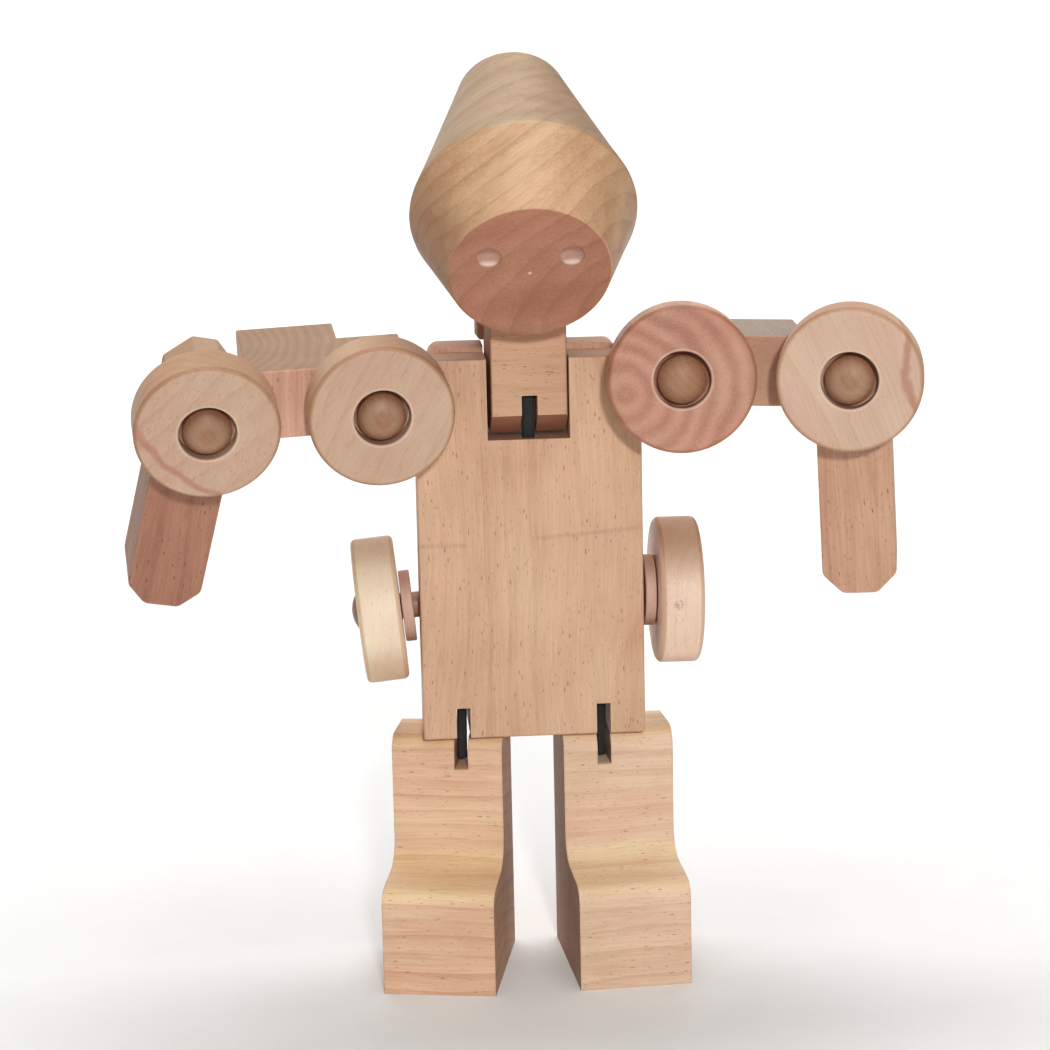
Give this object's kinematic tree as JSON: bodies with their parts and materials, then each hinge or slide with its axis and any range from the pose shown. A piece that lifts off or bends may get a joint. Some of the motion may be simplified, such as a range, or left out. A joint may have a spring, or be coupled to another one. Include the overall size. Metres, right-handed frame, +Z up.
{
  "type": "wooden toy robot",
  "caption": "Jointed wooden toy robot with a turned head, block torso, arms, feet and peg-mounted wheels at its shoulders, elbows and hips.",
  "frame": {"origin": "the floor under the middle of the figure's bounding box, with both soles on z = 0", "axes": "+Z up, -Y is the way the torso's front faces, +X towards the robot's left hand"},
  "size_m": [0.1928, 0.0736, 0.2251],
  "materials": {
    "long_grain_wood": "satin",
    "cross_grain_wood": "satin",
    "head_wood": "satin",
    "wheel_wood": "satin",
    "peg_wood": "satin",
    "ring_wood": "satin",
    "black_elastic": "matte"
  },
  "bodies": {
    "torso": {"torso_front": "long_grain_wood", "torso_back_board": "long_grain_wood", "hub_ring_hip_right": "ring_wood", "hub_ring_hip_left": "ring_wood", "peg_hip_right": "peg_wood", "peg_hip_left": "peg_wood", "neck_elastic": "black_elastic", "hip_elastic_right": "black_elastic", "hip_elastic_left": "black_elastic", "shoulder_elastic_right": "black_elastic", "shoulder_elastic_left": "black_elastic"},
    "neck": {"neck": "cross_grain_wood", "neck_back_block": "cross_grain_wood", "neck_dowel": "peg_wood"},
    "head": {"head": "head_wood"},
    "arm_right": {"upper_arm_right": "long_grain_wood", "peg_shoulder_right": "peg_wood", "hub_ring_shoulder_right": "ring_wood", "elbow_elastic_right": "black_elastic"},
    "forearm_right": {"forearm_right": "long_grain_wood", "peg_elbow_right": "peg_wood", "hub_ring_elbow_right": "ring_wood"},
    "wheel_shoulder_right": {"wheel_shoulder_right": "wheel_wood"},
    "wheel_elbow_right": {"wheel_elbow_right": "wheel_wood"},
    "wheel_hip_right": {"wheel_hip_right": "wheel_wood"},
    "leg_right": {"leg_right": "cross_grain_wood"},
    "arm_left": {"upper_arm_left": "long_grain_wood", "peg_shoulder_left": "peg_wood", "hub_ring_shoulder_left": "ring_wood", "elbow_elastic_left": "black_elastic"},
    "forearm_left": {"forearm_left": "long_grain_wood", "peg_elbow_left": "peg_wood", "hub_ring_elbow_left": "ring_wood"},
    "wheel_shoulder_left": {"wheel_shoulder_left": "wheel_wood"},
    "wheel_elbow_left": {"wheel_elbow_left": "wheel_wood"},
    "wheel_hip_left": {"wheel_hip_left": "wheel_wood"},
    "leg_left": {"leg_left": "cross_grain_wood"}
  },
  "joints": [
    {"name": "neck_nod", "type": "hinge", "parent": "torso", "child": "neck", "pos_m": [0.00362, 0.00142, 0.1396], "axis": [0.999, 0.0454, 0], "range_deg": [0, 15], "deforming": ["neck_elastic"]},
    {"name": "head_turn", "type": "hinge", "parent": "neck", "child": "head", "pos_m": [0.00301, 0.00492, 0.16529], "axis": [0, -0.246, 0.9693], "range_deg": [-15, 10]},
    {"name": "shoulder_swing_right", "type": "hinge", "parent": "torso", "child": "arm_right", "pos_m": [-0.02594, 0.00358, 0.14773], "axis": [0.9948, 0.0958, 0.0349], "range_deg": [-75, 0], "deforming": ["shoulder_elastic_right"]},
    {"name": "elbow_right", "type": "hinge", "parent": "arm_right", "child": "forearm_right", "pos_m": [-0.07366, -0.01305, 0.14495], "axis": [-0.1147, 0.935, 0.3356], "range_deg": [-7, 80], "deforming": ["elbow_elastic_right"]},
    {"name": "wheel_spin_shoulder_right", "type": "hinge", "parent": "arm_right", "child": "wheel_shoulder_right", "pos_m": [-0.03225, -0.01488, 0.14326], "axis": [0.101, -0.9729, -0.2078], "continuous": true},
    {"name": "wheel_spin_elbow_right", "type": "hinge", "parent": "forearm_right", "child": "wheel_elbow_right", "pos_m": [-0.07274, -0.02053, 0.14227], "axis": [0.1147, -0.935, -0.3356], "continuous": true},
    {"name": "wheel_spin_hip_right", "type": "hinge", "parent": "torso", "child": "wheel_hip_right", "pos_m": [-0.03284, 0.00672, 0.09055], "axis": [-0.9956, 0, -0.0941], "continuous": true},
    {"name": "hip_right", "type": "hinge", "parent": "torso", "child": "leg_right", "pos_m": [-0.01755, 0.00366, 0.0546], "axis": [0.9831, -0.1831, 0], "range_deg": [-90, 0], "deforming": ["hip_elastic_right"]},
    {"name": "shoulder_swing_left", "type": "hinge", "parent": "torso", "child": "arm_left", "pos_m": [0.03207, 0.00355, 0.1499], "axis": [0.9977, -0.061, -0.0297], "range_deg": [-40, 8], "deforming": ["shoulder_elastic_left"]},
    {"name": "elbow_left", "type": "hinge", "parent": "arm_left", "child": "forearm_left", "pos_m": [0.0804, -0.01168, 0.14895], "axis": [0.214, 0.9754, 0.0523], "range_deg": [-80, 3], "deforming": ["elbow_elastic_left"]},
    {"name": "wheel_spin_shoulder_left", "type": "hinge", "parent": "arm_left", "child": "wheel_shoulder_left", "pos_m": [0.03912, -0.01516, 0.1491], "axis": [-0.0613, -0.9981, -0.0087], "continuous": true},
    {"name": "wheel_spin_elbow_left", "type": "hinge", "parent": "forearm_left", "child": "wheel_elbow_left", "pos_m": [0.07869, -0.01948, 0.14853], "axis": [-0.214, -0.9754, -0.0523], "continuous": true},
    {"name": "wheel_spin_hip_left", "type": "hinge", "parent": "torso", "child": "wheel_hip_left", "pos_m": [0.0398, 0.00672, 0.09292], "axis": [1, 0, -0.0087], "continuous": true},
    {"name": "hip_left", "type": "hinge", "parent": "torso", "child": "leg_left", "pos_m": [0.024, 0.0036, 0.0546], "axis": [0.9974, 0.0718, 0], "range_deg": [-90, 0], "deforming": ["hip_elastic_left"]}
  ]
}
